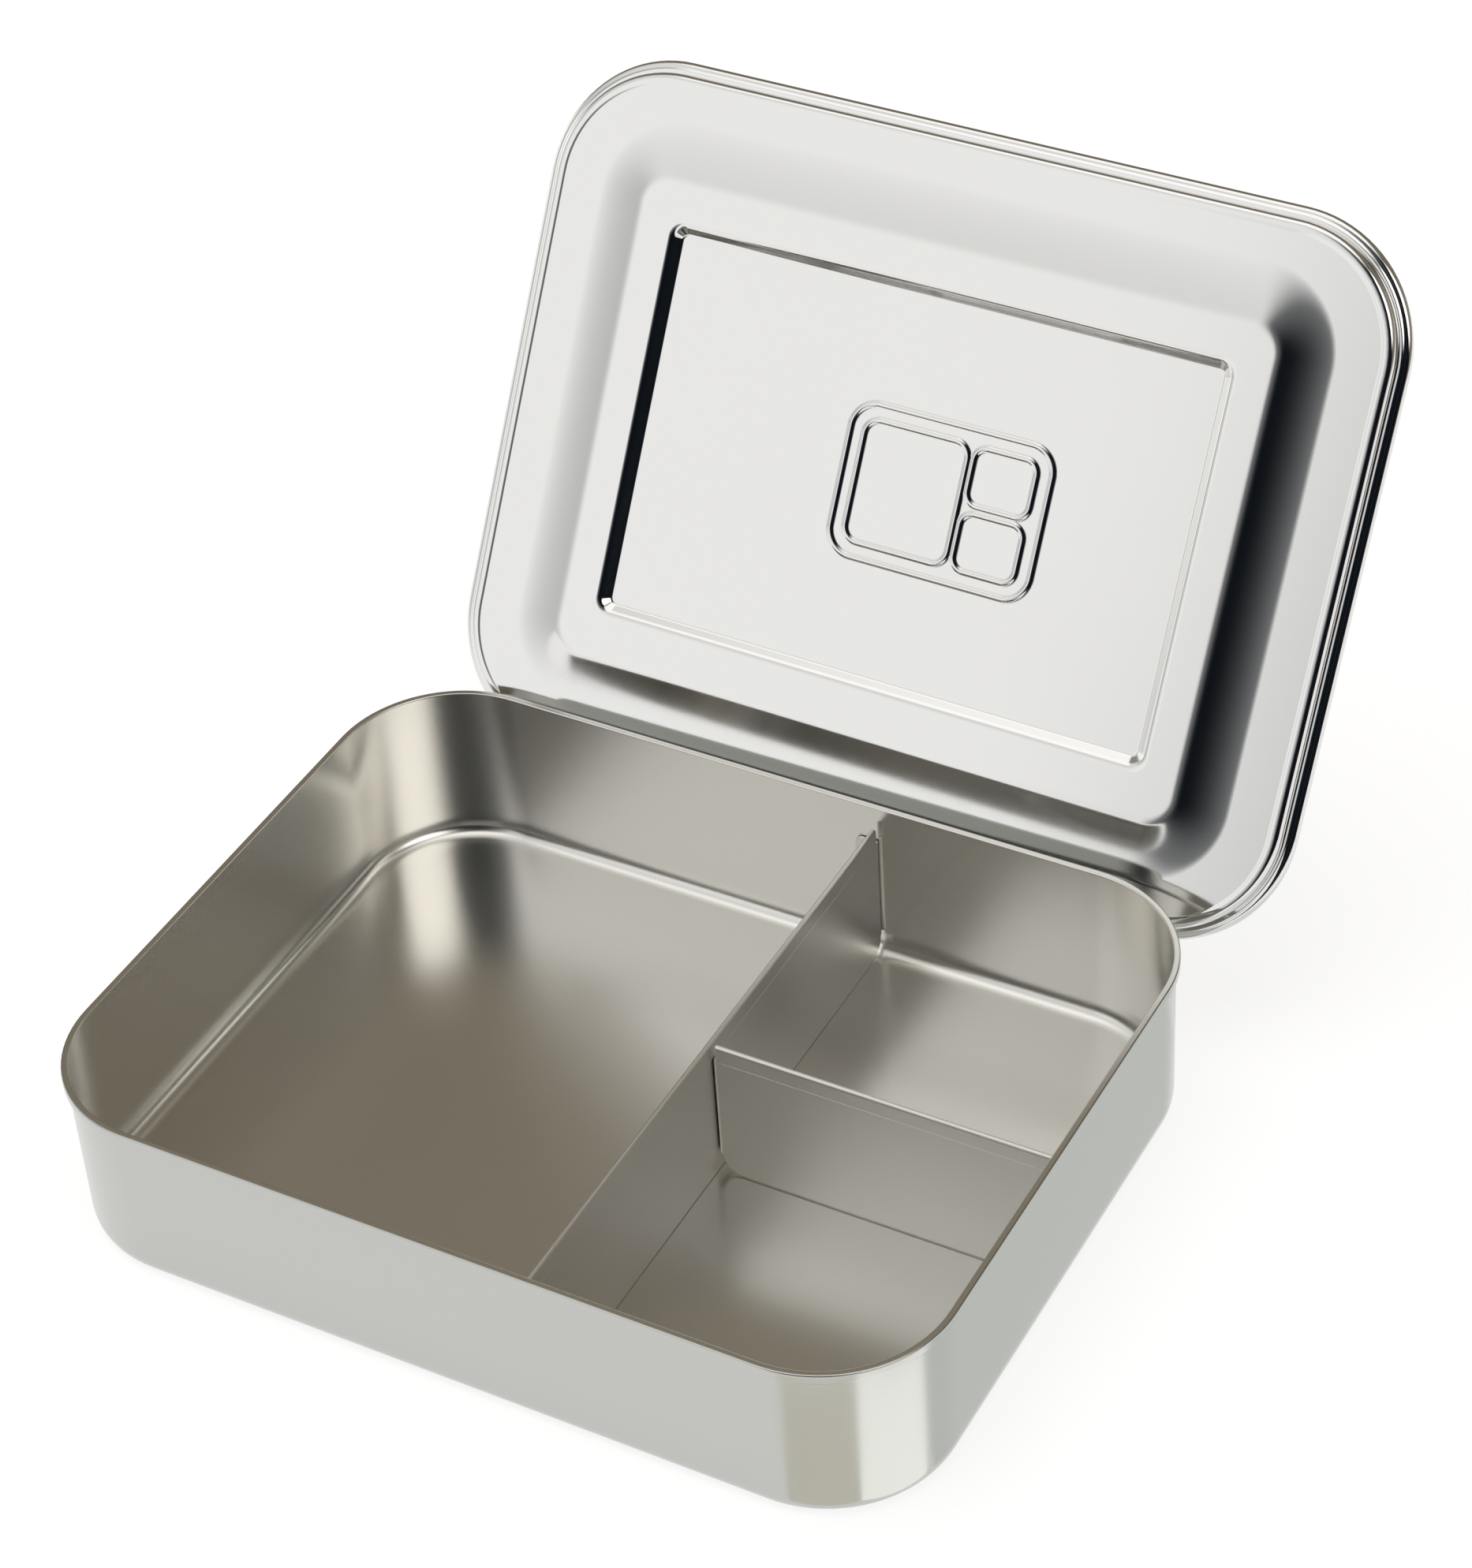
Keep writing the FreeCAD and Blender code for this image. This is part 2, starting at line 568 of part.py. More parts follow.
# The centre steps back up: an island over the frame, then the same step cut from below.
CENTRE_X = "(sizes.centre_length / 2)"
CENTRE_Y = "(sizes.centre_width / 2)"
SHIFT = "(0 - sizes.centre_shift)"
step_z = total(frame_z, "sizes.centre_rise")
island_foot = rectangle_at(
    "island_foot", total(frame_z, half_thin), total(CENTRE_X, half_thin),
    total(CENTRE_Y, half_thin), total("sizes.centre_corner", half_thin), SHIFT)
island_top = rectangle_at(
    "island_top", total(step_z, THIN),
    less(total(CENTRE_X, half_thin), "sizes.step_run"),
    less(total(CENTRE_Y, half_thin), "sizes.step_run"),
    less(total("sizes.centre_corner", half_thin), "(sizes.step_run * 0.8)"), SHIFT)
loft(lid, "AdditiveLoft", "lid_island", island_foot, island_top)
step_foot = rectangle_at("step_foot", frame_z, CENTRE_X, CENTRE_Y,
                         "sizes.centre_corner", SHIFT)
step_top = rectangle_at(
    "step_top", step_z, less(CENTRE_X, "sizes.step_run"),
    less(CENTRE_Y, "sizes.step_run"),
    less("sizes.centre_corner", "(sizes.step_run * 0.8)"), SHIFT)
doc.recompute()
full = lid.Shape.Volume
loft(lid, "SubtractiveLoft", "lid_step", step_foot, step_top)
doc.recompute()
if not lid.Shape.Volume < full - 1.0:
    raise RuntimeError("lid_step cut nothing")

# The lid stands tipped open behind the tray, its back edge low and its underside forward.
turn = FreeCAD.Rotation(FreeCAD.Vector(0, 0, 1), NAMES["open_turn"])
tip_back = FreeCAD.Rotation(FreeCAD.Vector(1, 0, 0), 180.0 - NAMES["open_angle"])
lean = FreeCAD.Rotation(FreeCAD.Vector(0, 1, 0), NAMES["open_roll"])
flip = FreeCAD.Rotation(FreeCAD.Vector(1, 0, 0), 180.0)
stand = turn * tip_back * lean * flip
low_edge = FreeCAD.Vector(
    NAMES["open_aside"], size(WALL_Y) + NAMES["open_behind"],
    NAMES["box_height"] - NAMES["open_drop"])
lid.Placement = FreeCAD.Placement(
    low_edge - stand.multVec(FreeCAD.Vector(0, size(LID_Y), 0)), stand)

# ---- check and write -------------------------------------------------------------------
doc.recompute()
for item in doc.Objects:
    if "Invalid" in item.State or "Error" in item.State:
        raise RuntimeError("%s did not build: %s" % (item.Name, item.State))
os.makedirs("parts", exist_ok=True)
for item in (tray, long_divider, short_divider, long_welds, short_welds, lid):
    shape = item.Shape
    if shape.isNull() or not shape.isValid():
        raise RuntimeError("%s is not a valid solid" % item.Label)
    shape.exportStep("parts/%s.step" % item.Label)
    print("%-24s %2d solid(s) %10.1f mm3" % (item.Label, len(shape.Solids), shape.Volume))
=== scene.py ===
# %% [markdown]
# # Three-compartment steel lunch box
# The box is four pressed sheets of stainless steel: a deep tray with a folded rim, a long and
# a short divider welded into it, and a loose lid that stands tipped open behind.
# The engineering model is loaded first, and every surface below is made at its sizes.

# %% Load the engineering model
import math

import bpy
import numpy as np
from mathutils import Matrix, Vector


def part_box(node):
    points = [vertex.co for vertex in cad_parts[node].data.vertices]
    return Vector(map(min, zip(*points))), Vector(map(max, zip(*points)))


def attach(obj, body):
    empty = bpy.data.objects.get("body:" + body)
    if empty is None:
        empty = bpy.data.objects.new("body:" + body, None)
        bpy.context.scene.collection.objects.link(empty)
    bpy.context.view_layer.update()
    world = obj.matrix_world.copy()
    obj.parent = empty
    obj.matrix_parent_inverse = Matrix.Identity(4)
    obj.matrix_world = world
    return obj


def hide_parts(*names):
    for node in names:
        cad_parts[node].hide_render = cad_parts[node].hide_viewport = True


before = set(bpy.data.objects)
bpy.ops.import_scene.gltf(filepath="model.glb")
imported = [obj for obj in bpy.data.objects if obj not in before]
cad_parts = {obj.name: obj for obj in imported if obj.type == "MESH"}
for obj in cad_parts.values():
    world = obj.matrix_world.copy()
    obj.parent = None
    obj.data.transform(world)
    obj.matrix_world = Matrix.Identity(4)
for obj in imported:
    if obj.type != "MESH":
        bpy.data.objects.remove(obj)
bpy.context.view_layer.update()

# %% [markdown]
# ## Sizes
# A maker would read these off a drawing, in millimetres, so they are kept that way and
# turned to metres only when a mesh is written. The tray's size comes from its own box.

# %% Sizes of the tray
MM = 0.001
low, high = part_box("tray_shell")
RIM_X = (high[0] - low[0]) / 2 / MM
RIM_Y = (high[1] - low[1]) / 2 / MM
HEIGHT = (high[2] - low[2]) / MM
CORNER = 28.6
SHEET = 0.6
RIM_REACH = 0.9
WALL_X, WALL_Y, WALL_R = RIM_X - RIM_REACH, RIM_Y - RIM_REACH, CORNER - RIM_REACH
INNER_X, INNER_Y = WALL_X - SHEET, WALL_Y - SHEET
FLOOR_BEND = 4.2
RIM_DROP = 2.4
DIVIDER_TOP = HEIGHT - 4.7
print("tray %.1f x %.1f x %.1f mm" % (2 * RIM_X, 2 * RIM_Y, HEIGHT))

# %% [markdown]
# ## How a pressed sheet becomes a surface
# Every pressing here is a stack of rounded rectangles, one inside the other, at changing
# heights: the press tool's own contour lines. One parameter runs round the rectangle and the
# other runs along the section, from the middle of one side of the sheet, over the edge and
# back on the other side. That makes a closed skin with no boolean cuts, and the bends are
# as smooth as the number of rings in them.

# %% Rounded rectangles, as many as there are rings
def rounded_plan(half_x, half_y, radius, shift, steps=22):
    """Points round a rounded rectangle, anticlockwise from the right side's top.

    Each corner is centre + radius * (cos a, sin a), with a going through a quarter turn in
    equal steps; the sides between corners get a point close to each end and three more.
    Returns an array of ring, point, (x, y).
    """
    half_x, half_y, radius, shift = [np.asarray(v, float)[:, None]
                                     for v in (half_x, half_y, radius, shift)]
    quarter = np.linspace(0, math.pi / 2, steps + 1)[None, :]
    corners = []
    for turn, (sx, sy) in enumerate([(1, 1), (-1, 1), (-1, -1), (1, -1)]):
        angle = quarter + turn * math.pi / 2
        corners.append(np.stack([sx * (half_x - radius) + radius * np.cos(angle),
                                 sy * (half_y - radius) + radius * np.sin(angle) + shift], 2))
    runs = []
    for turn in range(4):
        here, there = corners[turn], corners[(turn + 1) % 4]
        start, end = here[:, -1:], there[:, :1]
        length = np.linalg.norm(end - start, axis=2, keepdims=True)
        near = np.clip(0.25 / np.maximum(length, 1e-6), 0, 0.3)
        share = np.concatenate([near, near * 0 + 0.25, near * 0 + 0.5, near * 0 + 0.75,
                                1 - near], 1)
        runs += [here, start + (end - start) * share]
    return np.concatenate(runs, 1)


def soften(keys, blends, steps=8):
    """Round the corners of a line through keys, each a row of numbers.

    A corner becomes a quadratic Bezier curve: it starts and ends the blend distance away
    along both neighbouring runs, with the corner itself as the control point. A blend of 0
    keeps the corner. Distances are measured on the first and the last number of a row.
    """
    keys = np.asarray(keys, float)
    curve = np.linspace(0, 1, steps + 1)[:, None]
    rows = [keys[:1]]
    for before, here, after, blend in zip(keys[:-2], keys[1:-1], keys[2:], blends[1:-1]):
        if blend <= 0:
            rows.append(here[None])
            continue
        run_in = np.linalg.norm((here - before)[[0, -1]])
        run_out = np.linalg.norm((after - here)[[0, -1]])
        start = here + (before - here) * min(blend / run_in, 0.499)
        end = here + (after - here) * min(blend / run_out, 0.499)
        rows.append((1 - curve) ** 2 * start + 2 * curve * (1 - curve) * here
                    + curve ** 2 * end)
    rows.append(keys[-1:])
    return np.concatenate(rows)


def brace(rows, near=0.12, least=0.8):
    """Add a ring close to each end of every long run, so that flats stay flat in shading."""
    step = np.linalg.norm(np.diff(rows, axis=0)[:, [0, -1]], axis=1)
    out = [rows[:1]]
    for before, after, length in zip(rows[:-1], rows[1:], step):
        if length > least:
            share = near / length
            out += [(before + (after - before) * share)[None],
                    (after + (before - after) * share)[None]]
        out.append(after[None])
    return np.concatenate(out)


# %% [markdown]
# ## From rings to a mesh
# Rings of equal length make quads between neighbours, and the first and last ring are
# closed with one flat face each. The signed volume of the closed skin says whether its faces
# point outwards: the sum over triangles of a . (b x c) / 6 is positive when they do.

# %% Skin
CREASE = 38.0


def skin(name, rings, crease=CREASE):
    """Mesh object from an array of ring, point, (x, y, z), in millimetres."""
    count, around = rings.shape[:2]
    points = rings.reshape(-1, 3) * MM
    here = np.arange(around)
    there = (here + 1) % around
    base = np.arange(count - 1)[:, None] * around
    quads = np.stack([base + here, base + there, base + around + there,
                      base + around + here], 2).reshape(-1, 4)
    a, b, c, d = (points[quads[:, i]] for i in range(4))
    volume = (np.einsum("ij,ij->i", a, np.cross(b, c)).sum()
              + np.einsum("ij,ij->i", a, np.cross(c, d)).sum()) / 6
    for ring, sign in ((rings[0] * MM, -1), (rings[-1] * MM, 1)):
        middle = ring.mean(0)
        volume += sign * np.einsum("ij,ij->i", np.broadcast_to(middle, ring.shape),
                                   np.cross(ring, np.roll(ring, -1, 0))).sum() / 6
    faces = [tuple(q) for q in quads.tolist()]
    faces.append(tuple(range(around))[::-1])
    faces.append(tuple(range((count - 1) * around, count * around)))
    if volume < 0:
        faces = [face[::-1] for face in faces]
    mesh = bpy.data.meshes.new(name)
    mesh.from_pydata(points.tolist(), [], faces)
    mesh.polygons.foreach_set("use_smooth", np.ones(len(faces), bool))
    mesh.validate()
    mesh.set_sharp_from_angle(angle=math.radians(crease))
    mesh.update()
    piece = bpy.data.objects.new(name, mesh)
    bpy.context.collection.objects.link(piece)
    print("%-22s %6d faces, %8.1f mm3" % (name, len(faces), abs(volume) / MM ** 3))
    return piece


def contour_rings(rows):
    """Rings from rows of half_x, half_y, radius, shift, height."""
    plan = rounded_plan(rows[:, 0], rows[:, 1], rows[:, 2], rows[:, 3])
    height = np.broadcast_to(rows[:, 4][:, None, None], plan.shape[:2] + (1,))
    return np.concatenate([plan, height], 2)


# %% [markdown]
# ## Tray
# The real tray is drawn from one sheet, so floor, wall and corners flow into each other, and
# its top edge is folded outwards and pressed flat. The section below follows the sheet: floor,
# inside bend, inside wall, over the folded rim, down the outside and under the base.

# %% Tray surface
def tray_row(out, height):
    """A contour of the tray: the wall's outer face moved out by this much."""
    return [WALL_X + out, WALL_Y + out, WALL_R + out, 0.0, height]


FLAT_FLOOR = -22.0
tray_keys = [
    (FLAT_FLOOR, SHEET, 0), (-SHEET, SHEET, FLOOR_BEND), (-SHEET, HEIGHT, 0.3),
    (RIM_REACH, HEIGHT, 0.45), (RIM_REACH, HEIGHT - RIM_DROP, 0.45),
    (0.0, HEIGHT - RIM_DROP, 0.0), (0.0, 0.0, FLOOR_BEND + SHEET), (FLAT_FLOOR, 0.0, 0)]
tray_rows = soften([tray_row(out, up) for out, up, _ in tray_keys],
                   [blend for _, _, blend in tray_keys], steps=12)
tray = skin("tray_pan", contour_rings(brace(tray_rows)))
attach(tray, "tray")
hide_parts("tray_shell")

# %% [markdown]
# ## Dividers
# Each divider is a strip bent to a flange at both ends, with its top edge folded over. The
# strip is carried along its bent plan line; its foot lifts in an arc at the ends, to clear
# the tray's bend. The fold is a short hooked section carried along the top.

# %% Strips and folds
DIVIDER_SHEET = 0.6
FOLD_DEPTH = 6.0
STEP = 4.1


def strip(path, foot, top, width=DIVIDER_SHEET):
    """Rings of a strip that follows a plan line, with its foot and top along the line.

    The face is the line moved half the width along its normal, which is the line's
    direction turned a quarter turn.
    """
    ahead = np.gradient(path, axis=0)
    ahead /= np.linalg.norm(ahead, axis=1, keepdims=True)
    normal = np.stack([ahead[:, 1], -ahead[:, 0]], 1)
    nick = 0.08
    half = width / 2
    across = np.array([half, half, half, half, half - nick, -(half - nick), -half, -half,
                       -half, -half, -(half - nick), half - nick])
    edge = np.array([0, 1, 2, 3, 4, 4, 3, 2, 1, 0, 5, 5])
    levels = np.stack([foot + nick, foot + 0.3, top - 0.3, top - nick, top, foot], 1)
    plan = path[:, None, :] + normal[:, None, :] * across[None, :, None]
    return np.concatenate([plan, levels[:, edge][:, :, None]], 2)


def bent_line(points, bend, steps=10):
    """Plan line with its two inner corners rounded, and close points for the foot's arc."""
    line = soften(points, [0, bend, bend, 0], steps)
    out = [line[:1]]
    for before, after in zip(line[:-1], line[1:]):
        length = np.linalg.norm(after - before)
        if length > 20:
            ends = np.concatenate([np.linspace(0, 7.0, 24), np.linspace(12, length - 12, 12),
                                   np.linspace(length - 7.0, length, 24)]) / length
            out.append(before + (after - before) * ends[1:, None])
        elif length > 1:
            out.append(before + (after - before) * np.linspace(0, 1, 20)[1:, None])
        else:
            out.append(after[None])
    return np.concatenate(out)


def foot_line(distance, run, foot, radius):
    """Height of a strip's foot: flat, then up a quarter circle to each end of its run."""
    near = np.clip(radius - (run / 2 - np.abs(distance)), 0, radius)
    return foot + radius - np.sqrt(np.maximum(radius ** 2 - near ** 2, 0))


def fold_section():
    """The folded edge's section as across, height: a hook round the web's top.

    The top is a half circle of the fold's half width; the web's own face is flush below.
    """
    half = DIVIDER_SHEET
    turn = np.linspace(0, math.pi, 13)
    arc = np.stack([half * np.cos(turn), DIVIDER_TOP - half + half * np.sin(turn)], 1)
    bottom, shoulder = DIVIDER_TOP - FOLD_DEPTH, DIVIDER_TOP - STEP
    right = [(half, shoulder), (half, shoulder + 0.2), (half, DIVIDER_TOP - 0.9)]
    left = [(-half, DIVIDER_TOP - 0.9), (-half, bottom + 0.2), (-half, bottom),
            (-0.02, bottom), (-0.02, shoulder)]
    return np.array(right + arc.tolist() + left)


def carried(section, start, end):
    """Rings of a section carried in a straight line, nicked at both ends.

    Returns ring, point, (across, along, height).
    """
    length = end - start
    along = np.array([0, 0.06, 0.3, 0.5 * length, length - 0.3, length - 0.06, length])
    middle = section.mean(0)
    rings = []
    for place, small in zip(along, [0.94, 1, 1, 1, 1, 1, 0.94]):
        ring = middle + (section - middle) * small
        rings.append(np.stack([ring[:, 0], np.full(len(ring), start + place),
                               ring[:, 1]], 1))
    return np.array(rings)


def join(name, *parts):
    """One piece from several made by skin()."""
    vertices, faces, offset = [], [], 0
    for part in parts:
        mesh = part.data
        flat = np.empty(len(mesh.vertices) * 3)
        mesh.vertices.foreach_get("co", flat)
        vertices.append(flat.reshape(-1, 3))
        faces += [tuple(i + offset for i in p.vertices) for p in mesh.polygons]
        offset += len(mesh.vertices)
        bpy.data.objects.remove(part)
    mesh = bpy.data.meshes.new(name)
    mesh.from_pydata(np.concatenate(vertices).tolist(), [], faces)
    mesh.polygons.foreach_set("use_smooth", np.ones(len(faces), bool))
    mesh.set_sharp_from_angle(angle=math.radians(CREASE))
    piece = bpy.data.objects.new(name, mesh)
    bpy.context.collection.objects.link(piece)
    return piece


# %% Long divider
WELD_GAP = 0.2
FOOT_RADIUS = FLOOR_BEND + 0.5
FLANGE_REACH, FLANGE_CORNER, FLANGE_BEND = 5.6, 1.6, 0.7
HALF_SHEET = DIVIDER_SHEET / 2
LONG_PLACE, LONG_CLEAR, LONG_SETBACK = 19.8, 0.2, 1.5


def divider_sheet(name, path, along, run, clear, from_tip, in_flange, fold_rings):
    """A divider's web and fold as one piece.

    The foot follows foot_line and stays at its highest past the run. The flanges' free
    corners are rounded: at a distance d inside the radius r from the tip, the edge moves
    in by r - sqrt(r^2 - (r - d)^2), at the foot and at the top alike.
    """
    foot = foot_line(along, run, SHEET + clear, FOOT_RADIUS)
    foot = np.where(np.abs(along) > run / 2 - 0.01, SHEET + clear + FOOT_RADIUS, foot)
    corner = np.clip(FLANGE_CORNER - from_tip, 0, FLANGE_CORNER)
    cut = FLANGE_CORNER - np.sqrt(np.maximum(FLANGE_CORNER ** 2 - corner ** 2, 0))
    cut = np.where(in_flange, cut, 0)
    web = skin(name + "_web", strip(path, foot + cut, DIVIDER_TOP - STEP - cut))
    fold = skin(name + "_fold", fold_rings)
    return join(name + "_sheet", web, fold)


wall = INNER_Y - WELD_GAP - HALF_SHEET
tip = LONG_PLACE + DIVIDER_SHEET - FLANGE_REACH
line = LONG_PLACE + HALF_SHEET
path = bent_line([(tip, -wall), (line, -wall), (line, wall), (tip, wall)], FLANGE_BEND)
run = 2 * (INNER_Y - WELD_GAP - 1.0)
hook = fold_section()
rings = carried(hook, LONG_SETBACK - INNER_Y, INNER_Y - LONG_SETBACK)
rings[:, :, 0] += LONG_PLACE
long_divider = divider_sheet("long_divider", path, path[:, 1], run, LONG_CLEAR,
                             path[:, 0] - tip, path[:, 0] < LONG_PLACE - 0.4, rings)
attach(long_divider, "tray")
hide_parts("long_divider")

# %% Short divider
CROSS_PLACE, CROSS_CLEAR, CROSS_SETBACK = 0.2, 0.4, 1.0
long_back = LONG_PLACE + DIVIDER_SHEET
left_end, right_end = long_back + WELD_GAP + HALF_SHEET, INNER_X - WELD_GAP - HALF_SHEET
tip = CROSS_PLACE - DIVIDER_SHEET + FLANGE_REACH
line = CROSS_PLACE - HALF_SHEET
path = bent_line([(left_end, tip), (left_end, line), (right_end, line), (right_end, tip)],
                 FLANGE_BEND)
run = (right_end - left_end) + DIVIDER_SHEET - 2.0
rings = carried(hook, long_back + CROSS_SETBACK, INNER_X - CROSS_SETBACK)
rings = np.stack([rings[:, :, 1], CROSS_PLACE - rings[:, :, 0], rings[:, :, 2]], 2)
short_divider = divider_sheet("short_divider", path,
                              path[:, 0] - (left_end + right_end) / 2, run, CROSS_CLEAR,
                              tip - path[:, 1], path[:, 1] > CROSS_PLACE + 0.4, rings)
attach(short_divider, "tray")
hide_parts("short_divider")

# %% [markdown]
# ## Lid
# The lid is one sheet too: a rolled edge, a neck that sits on the tray's rim, a bead that
# plugs into the mouth, a flat border, a slope up to a frame, and a centre stepped
# back. It is drawn closed, as contours again, and then carried to where it stands open.

# %% Lid section
LID_X, LID_Y, LID_R = RIM_X + 0.8, RIM_Y + 0.8, CORNER + 0.8
ROLL = 1.4
LIFT = 0.4


def edge_row(inset, height):
    """A contour of the lid's edge: the outer edge moved in by this much."""
    return [LID_X - inset, LID_Y - inset, LID_R - inset, 0.0, height]


def arc_rows(inset, height, radius, start, end, steps):
    """Contours along a circle in the section, from one angle to another in degrees."""
    turn = np.radians(np.linspace(start, end, steps))
    return [edge_row(inset - radius * math.cos(a), height + radius * math.sin(a))
            for a in turn]


SHIFT = -0.76
PLUG_LOW, BEAD_RADIUS, BEAD = -2.55, 1.4, 4.15
frame_low, centre_low, border_low = -4.5, -2.55, -2.43
back_of_border = border_low + SHEET


def run_out(lift, steps=34):
    """The slope from the frame's rounded edge out to the border.

    Its steepness grows smoothly from nothing over the first fifth, where the press folds
    the frame's edge, and then dies away as the root of what is left; the height is the
    running sum of the steepness.
    """
    u = np.linspace(0, 1, steps) ** 1.25
    fold = np.clip(u / 0.2, 0, 1)
    steep = fold * fold * (3 - 2 * fold) * np.sqrt(1 - u)
    rise = np.concatenate([[0], np.cumsum((steep[1:] + steep[:-1]) / 2 * np.diff(u))])
    rise /= rise[-1]
    return [[74.1 + 12.9 * a, 52.6 + 14.5 * a, 5.0 + 14.5 * a, 0.0,
             frame_low + (border_low - frame_low) * b + lift] for a, b in zip(u, rise)]


def centre_rows(lift, wide):
    """The stepped centre, from its middle out to the frame."""
    keys = [[30.0, 8.0, 1.4, SHIFT, centre_low + lift],
            [64.53 + wide, 42.13 + wide, 1.5, SHIFT, centre_low + lift],
            [66.6 + wide, 44.2 + wide, 3.5, SHIFT, frame_low + lift],
            [71.0, 49.0, 5.0, 0.0, frame_low + lift]]
    return soften(keys, [0, 0.35, 0.9, 0], 8).tolist()


bead = arc_rows(BEAD, PLUG_LOW + BEAD_RADIUS, BEAD_RADIUS, -90, 52, 18)
under = (centre_rows(0, 0) + run_out(0)
         + soften([edge_row(12.0, border_low), edge_row(5.45, border_low),
                   edge_row(4.9, PLUG_LOW), edge_row(BEAD, PLUG_LOW)],
                  [0, 0.2, 0.25, 0], 6).tolist()[1:-1])
print("section rows", len(under))

# %% Over the edge and back
neck = soften([edge_row(3.29, -0.05), edge_row(3.29, 0.0), edge_row(1.85, 0.0),
               edge_row(1.45, 0.38)], [0, 0.04, 0.15, 0], 4).tolist()[1:-1]
roll = arc_rows(ROLL, LIFT + ROLL, ROLL, -88, 225, 40)
over_neck = soften([edge_row(2.5, 0.62), edge_row(3.9, 0.6), edge_row(3.9, -0.2)],
                   [0, 0.3, 0], 5).tolist()
bead_back = arc_rows(BEAD, PLUG_LOW + BEAD_RADIUS, BEAD_RADIUS - SHEET, 48, -90, 14)
over = (soften([edge_row(4.4, PLUG_LOW + SHEET), edge_row(4.65, PLUG_LOW + SHEET),
                edge_row(5.2, back_of_border), edge_row(12.0, back_of_border)],
               [0, 0.2, 0.2, 0], 5).tolist()
        + run_out(SHEET)[::-1] + centre_rows(SHEET, 0.3)[::-1])
lid_rows = brace(np.array(under + bead + neck + roll + over_neck + bead_back + over))
print("lid rings", len(lid_rows))


# %% Carry the lid to where it stands
def turned(axis, degrees):
    """Rotation matrix about one axis, by the right-hand rule."""
    c, s = math.cos(math.radians(degrees)), math.sin(math.radians(degrees))
    return {"x": np.array([[1, 0, 0], [0, c, -s], [0, s, c]]),
            "y": np.array([[c, 0, s], [0, 1, 0], [-s, 0, c]]),
            "z": np.array([[c, -s, 0], [s, c, 0], [0, 0, 1]])}[axis]


STAND = turned("z", -1.12) @ turned("x", 180 - 120.22) @ turned("y", 1.32) @ turned("x", 180)
LOW_EDGE = np.array([8.4, WALL_Y + 1.22, HEIGHT - 14.77])
LID_AT = LOW_EDGE - STAND @ np.array([0.0, LID_Y, 0.0])
lid = skin("lid_pressing", contour_rings(lid_rows) @ STAND.T + LID_AT)
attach(lid, "lid")
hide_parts("lid")

# %% [markdown]
# ## Mark on the lid
# The centre of the lid is embossed. A plain three-part box sign stands there: thin ridges,
# so that the steel draws them with one bright and one dark edge. It is a fine height sheet
# laid on the centre, with its border sunk into the lid.

# %% Embossed sign
RIDGE = 0.30
SINK = 0.05
PROUD = 0.004


def box_distance(x, y, half_x, half_y, radius):
    """Distance from the outline of a rounded rectangle.

    Outside distance of the point beyond the corner centres, plus the inside part, less the
    radius; its absolute value is the distance from the outline itself.
    """
    qx, qy = np.abs(x) - half_x + radius, np.abs(y) - half_y + radius
    beyond = np.hypot(np.maximum(qx, 0), np.maximum(qy, 0))
    return beyond + np.minimum(np.maximum(qx, qy), 0) - radius


def sign_height(x, y):
    """Ridge height: highest over the sign's lines, falling off smoothly on both sides.

    The fall is 1 - s^2 (3 - 2 s), with s going from 0 at 0.18 mm off a line to 1 at 0.8 mm.
    """
    frame_line = np.abs(box_distance(x, y, 24.0, 17.0, 6.0))
    left = box_distance(x + 8.2, y, 12.4, 13.6, 3.5)
    upper = box_distance(x - 13.0, y + 7.2, 7.4, 6.4, 3.0)
    lower = box_distance(x - 13.0, y - 7.2, 7.4, 6.4, 3.0)
    line = np.minimum(frame_line, np.abs(np.minimum(np.minimum(left, upper), lower)))
    share = np.clip((line - 0.18) / 0.62, 0, 1)
    return RIDGE * (1 - share * share * (3 - 2 * share))


def sign_sheet(name, centre_x, centre_y, half_x, half_y, pitch, level):
    """Height grid facing down the lid's inside, with a sunk border and a flat back."""
    xs = np.concatenate([[-half_x - 0.001], np.arange(-half_x, half_x + pitch / 2, pitch),
                         [half_x + 0.001]])
    ys = np.concatenate([[-half_y - 0.001], np.arange(-half_y, half_y + pitch / 2, pitch),
                         [half_y + 0.001]])
    x, y = np.meshgrid(xs, ys, indexing="ij")
    height = level - PROUD - sign_height(x, y)
    height[[0, -1], :] = level + SINK
    height[:, [0, -1]] = level + SINK
    nx, ny = x.shape
    number = np.arange(nx * ny).reshape(nx, ny)
    quads = np.stack([number[:-1, :-1], number[:-1, 1:], number[1:, 1:], number[1:, :-1]],
                     2).reshape(-1, 4)
    rim = np.concatenate([number[:, 0], number[-1, 1:], number[-2::-1, -1],
                          number[0, -2:0:-1]])
    points = np.stack([x + centre_x, y + centre_y, height], 2).reshape(-1, 3)
    points = (points @ STAND.T + LID_AT) * MM
    mesh = bpy.data.meshes.new(name)
    mesh.from_pydata(points.tolist(), [], quads.tolist() + [rim.tolist()])
    mesh.polygons.foreach_set("use_smooth", np.ones(len(quads) + 1, bool))
    mesh.set_sharp_from_angle(angle=math.radians(50))
    piece = bpy.data.objects.new(name, mesh)
    bpy.context.collection.objects.link(piece)
    print(name, len(quads), "faces")
    return piece


sign = sign_sheet("lid_sign", 8.0, -0.5, 27.0, 20.0, 0.27, centre_low)
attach(sign, "lid")
